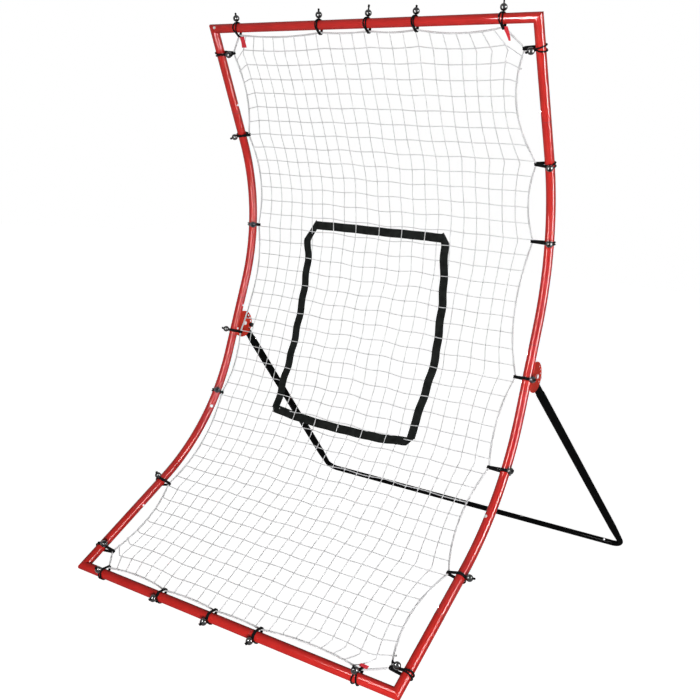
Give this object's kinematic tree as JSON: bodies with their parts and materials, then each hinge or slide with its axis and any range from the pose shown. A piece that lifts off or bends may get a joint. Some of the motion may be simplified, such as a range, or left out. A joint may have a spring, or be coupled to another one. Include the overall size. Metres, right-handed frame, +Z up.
{
  "type": "pitching target net",
  "caption": "Curved ball rebound net on a bent tube frame, with a webbing strike zone, elastic ties and a folding rear stand.",
  "frame": {"origin": "on the floor, in the middle of the footprint", "axes": "+Z up, +Y to the back where the stand is, +X to the right as seen from the thrower"},
  "size_m": [1.4546, 1.6562, 1.8742],
  "materials": {
    "red_tube": "gloss powder coat",
    "black_tube": "satin powder coat",
    "snap_button": "polished",
    "bolt_steel": "zinc plated",
    "spacer": "nylon",
    "knob": "moulded",
    "pale_plug": "moulded",
    "net_cord": "braided cord",
    "webbing": "woven webbing",
    "elastic": "braided elastic",
    "tie_ball": "moulded",
    "tag": "woven"
  },
  "bodies": {
    "frame": {"upper_corner_left": "red_tube", "upper_corner_right": "red_tube", "lower_corner_left": "red_tube", "lower_corner_right": "red_tube", "upper_curve_left": "red_tube", "upper_curve_right": "red_tube", "lower_curve_left": "red_tube", "lower_curve_right": "red_tube", "hinge_tube_left": "red_tube", "hinge_tube_right": "red_tube", "hinge_plates_left": "red_tube", "hinge_plates_right": "red_tube", "pivot_bolt_left": "bolt_steel", "pivot_bolt_right": "bolt_steel", "pivot_nuts": "bolt_steel", "pivot_spacers": "spacer", "net_vertical_cords": "net_cord", "net_cross_cords": "net_cord", "net_border_rope": "net_cord", "strap_top": "webbing", "strap_bottom": "webbing", "strap_left": "webbing", "strap_right": "webbing", "tie_cords_top": "elastic", "tie_cords_bottom": "elastic", "tie_cords_left": "elastic", "tie_cords_right": "elastic", "tie_balls_top": "tie_ball", "tie_balls_bottom": "tie_ball", "tie_balls_left": "tie_ball", "tie_balls_right": "tie_ball", "corner_tags": "tag", "rail_plugs": "pale_plug"},
    "stand": {"stand_stub_left": "black_tube", "stand_stub_right": "black_tube", "stand_leg_left": "black_tube", "stand_leg_right": "black_tube", "stand_bar_left": "black_tube", "stand_bar_right": "black_tube", "stand_plug": "pale_plug"},
    "stop_pin_left": {"stop_pin_left": "bolt_steel", "stop_knob_left": "knob"},
    "stop_pin_right": {"stop_pin_right": "bolt_steel", "stop_knob_right": "knob"},
    "button_upper_left": {"button_upper_left": "snap_button"},
    "button_upper_right": {"button_upper_right": "snap_button"},
    "button_hinge_top_left": {"button_hinge_top_left": "snap_button"},
    "button_hinge_top_right": {"button_hinge_top_right": "snap_button"},
    "button_hinge_bottom_left": {"button_hinge_bottom_left": "snap_button"},
    "button_hinge_bottom_right": {"button_hinge_bottom_right": "snap_button"},
    "button_lower_left": {"button_lower_left": "snap_button"},
    "button_lower_right": {"button_lower_right": "snap_button"},
    "button_top": {"button_top": "snap_button"},
    "button_bottom": {"button_bottom": "snap_button"},
    "button_leg_left": {"button_leg_left": "snap_button"},
    "button_leg_right": {"button_leg_right": "snap_button"},
    "button_bar_left": {"button_bar_left": "snap_button"},
    "button_bar_right": {"button_bar_right": "snap_button"},
    "button_bar_middle": {"button_bar_middle": "snap_button"}
  },
  "joints": [
    {"name": "stand_hinge", "type": "hinge", "parent": "frame", "child": "stand", "pos_m": [0, -0.07698, 0.78564], "axis": [1, 0, 0], "range_deg": [-56, 0]},
    {"name": "stop_pin_slide_left", "type": "slide", "parent": "frame", "child": "stop_pin_left", "axis": [1, 0, 0], "range_m": [0, 0.045]},
    {"name": "stop_pin_slide_right", "type": "slide", "parent": "frame", "child": "stop_pin_right", "axis": [-1, 0, 0], "range_m": [0, 0.045]},
    {"name": "button_upper_left_press", "type": "slide", "parent": "frame", "child": "button_upper_left", "axis": [-1, 0, 0], "range_m": [0, 0.0038], "stiffness_N_per_m": 900, "springref_m": -0.003},
    {"name": "button_upper_right_press", "type": "slide", "parent": "frame", "child": "button_upper_right", "axis": [1, 0, 0], "range_m": [0, 0.0038], "stiffness_N_per_m": 900, "springref_m": -0.003},
    {"name": "button_hinge_top_left_press", "type": "slide", "parent": "frame", "child": "button_hinge_top_left", "axis": [-1, 0, 0], "range_m": [0, 0.0038], "stiffness_N_per_m": 900, "springref_m": -0.003},
    {"name": "button_hinge_top_right_press", "type": "slide", "parent": "frame", "child": "button_hinge_top_right", "axis": [1, 0, 0], "range_m": [0, 0.0038], "stiffness_N_per_m": 900, "springref_m": -0.003},
    {"name": "button_hinge_bottom_left_press", "type": "slide", "parent": "frame", "child": "button_hinge_bottom_left", "axis": [-1, 0, 0], "range_m": [0, 0.0038], "stiffness_N_per_m": 900, "springref_m": -0.003},
    {"name": "button_hinge_bottom_right_press", "type": "slide", "parent": "frame", "child": "button_hinge_bottom_right", "axis": [1, 0, 0], "range_m": [0, 0.0038], "stiffness_N_per_m": 900, "springref_m": -0.003},
    {"name": "button_lower_left_press", "type": "slide", "parent": "frame", "child": "button_lower_left", "axis": [-1, 0, 0], "range_m": [0, 0.0038], "stiffness_N_per_m": 900, "springref_m": -0.003},
    {"name": "button_lower_right_press", "type": "slide", "parent": "frame", "child": "button_lower_right", "axis": [1, 0, 0], "range_m": [0, 0.0038], "stiffness_N_per_m": 900, "springref_m": -0.003},
    {"name": "button_top_press", "type": "slide", "parent": "frame", "child": "button_top", "axis": [0, -0.8771, -0.4802], "range_m": [0, 0.0038], "stiffness_N_per_m": 900, "springref_m": -0.003},
    {"name": "button_bottom_press", "type": "slide", "parent": "frame", "child": "button_bottom", "axis": [0, -0.5548, 0.832], "range_m": [0, 0.0038], "stiffness_N_per_m": 900, "springref_m": -0.003},
    {"name": "button_leg_left_press", "type": "slide", "parent": "stand", "child": "button_leg_left", "axis": [0, -0.6548, -0.7558], "range_m": [0, 0.0038], "stiffness_N_per_m": 900, "springref_m": -0.003},
    {"name": "button_leg_right_press", "type": "slide", "parent": "stand", "child": "button_leg_right", "axis": [0, -0.6548, -0.7558], "range_m": [0, 0.0038], "stiffness_N_per_m": 900, "springref_m": -0.003},
    {"name": "button_bar_left_press", "type": "slide", "parent": "stand", "child": "button_bar_left", "axis": [0, 0.7558, -0.6548], "range_m": [0, 0.0038], "stiffness_N_per_m": 900, "springref_m": -0.003},
    {"name": "button_bar_right_press", "type": "slide", "parent": "stand", "child": "button_bar_right", "axis": [0, 0.7558, -0.6548], "range_m": [0, 0.0038], "stiffness_N_per_m": 900, "springref_m": -0.003},
    {"name": "button_bar_middle_press", "type": "slide", "parent": "stand", "child": "button_bar_middle", "axis": [0, 0.7558, -0.6548], "range_m": [0, 0.0038], "stiffness_N_per_m": 900, "springref_m": -0.003}
  ]
}
